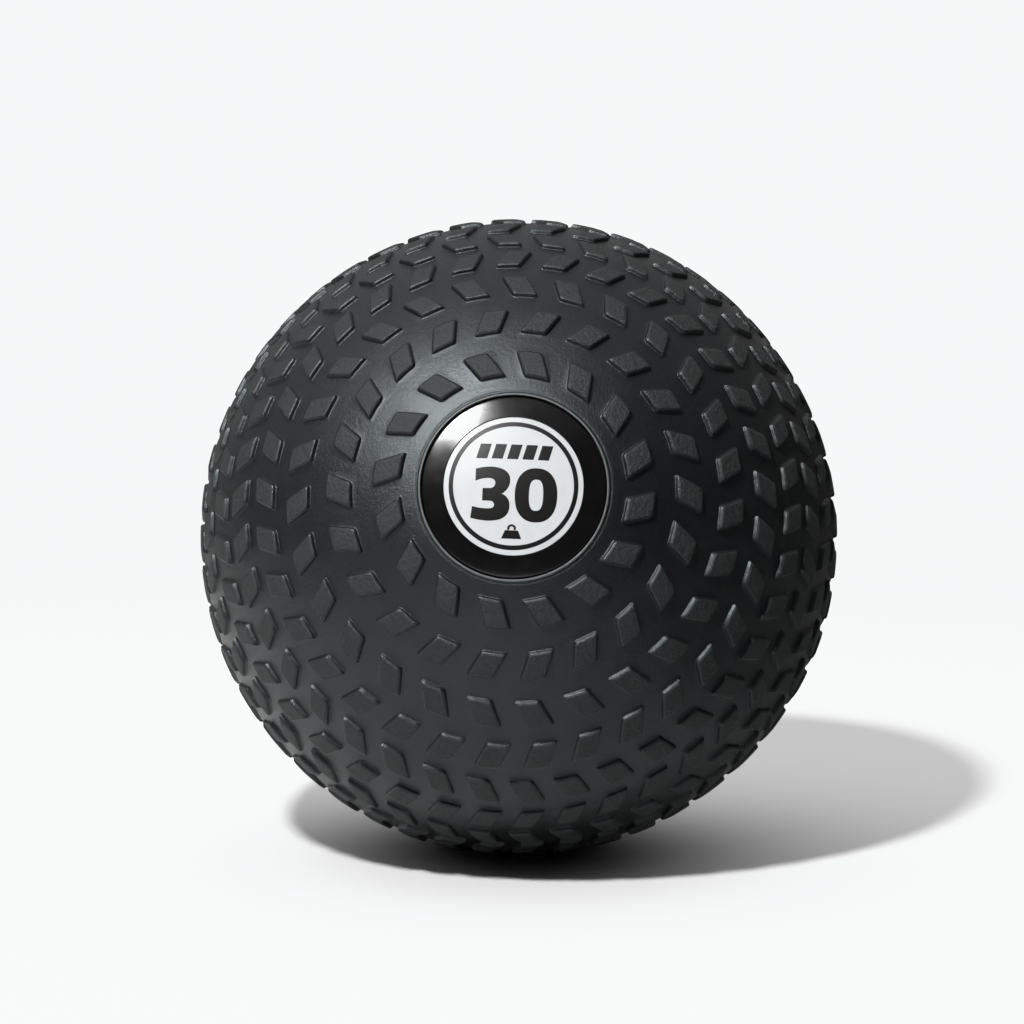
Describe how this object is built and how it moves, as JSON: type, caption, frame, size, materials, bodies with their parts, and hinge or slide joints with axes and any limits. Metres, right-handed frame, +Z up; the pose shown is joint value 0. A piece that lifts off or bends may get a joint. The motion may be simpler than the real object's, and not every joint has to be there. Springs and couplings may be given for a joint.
{
  "type": "medicine ball",
  "caption": "Heavy rubber slam ball with a herringbone tread of raised lugs, a round domed badge at one pole, an air valve at the other and a loose sand fill.",
  "frame": {"origin": "middle of the flat patch that the ball rests on, on the floor, straight below the ball's centre", "axes": "+Z up; the badge faces -Y and looks 14.6 degrees upwards; +X is to the right of a person who faces the badge"},
  "size_m": [0.2798, 0.279, 0.2772],
  "materials": {
    "tread_rubber": "satin",
    "badge_black": "gloss",
    "label_white": "gloss",
    "foam_tape": "matte",
    "butyl": "satin",
    "sand": "matte"
  },
  "bodies": {
    "shell": {"front_shell": "tread_rubber", "rear_shell": "tread_rubber", "badge_disc": "badge_black", "badge_label": "label_white", "badge_pad": "foam_tape", "fill_plug": "butyl", "valve_body": "butyl"},
    "sand": {"sand_fill": "sand"}
  },
  "joints": [
    {"name": "sand_shift", "type": "hinge", "parent": "shell", "child": "sand", "pos_m": [0, 0, 0.1373], "axis": [1, 0, 0], "continuous": true}
  ]
}
